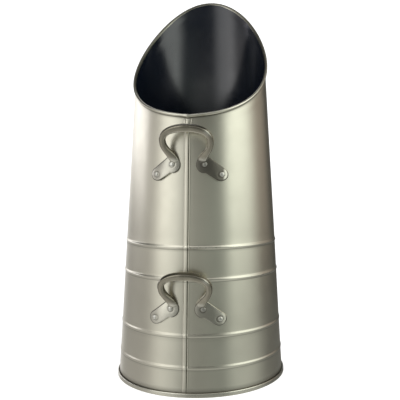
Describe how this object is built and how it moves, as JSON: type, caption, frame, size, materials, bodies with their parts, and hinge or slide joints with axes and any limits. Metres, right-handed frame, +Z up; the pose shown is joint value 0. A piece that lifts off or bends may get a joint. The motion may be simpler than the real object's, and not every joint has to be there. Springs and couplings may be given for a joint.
{
  "type": "coal scuttle",
  "caption": "Tall tapered coal scuttle: sheet body with stiffening beads and a slanted wired mouth, hemmed base, and cast bow handles riveted on its front for carrying and pouring.",
  "frame": {"origin": "middle of the floor area that the scuttle covers, handles included, at the bottom of the foot; the body's own axis stands 7.1 mm behind it, at y = +0.0071", "axes": "+Z up, +Y towards the high lip at the back of the mouth, -Y towards the seam and the handles at the front"},
  "size_m": [0.2246, 0.2388, 0.5117],
  "materials": {
    "pewter_sheet": "satin pewter plate on sheet steel",
    "cast_pewter": "satin pewter plate on a casting",
    "rivet_pewter": "satin pewter plate, rubbed bright on the heads",
    "steel_wire": "drawn steel wire",
    "black_inside": "satin black paint on the inside of the body and base"
  },
  "bodies": {
    "root": {"body": "pewter_sheet", "rim_wire": "steel_wire", "base_pan": "pewter_sheet", "lower_handle": "cast_pewter", "lower_rivet_left_inner": "rivet_pewter", "lower_rivet_left_outer": "rivet_pewter", "lower_rivet_right_inner": "rivet_pewter", "lower_rivet_right_outer": "rivet_pewter", "upper_handle": "cast_pewter", "upper_rivet_left_inner": "rivet_pewter", "upper_rivet_left_outer": "rivet_pewter", "upper_rivet_right_inner": "rivet_pewter", "upper_rivet_right_outer": "rivet_pewter"}
  },
  "joints": []
}
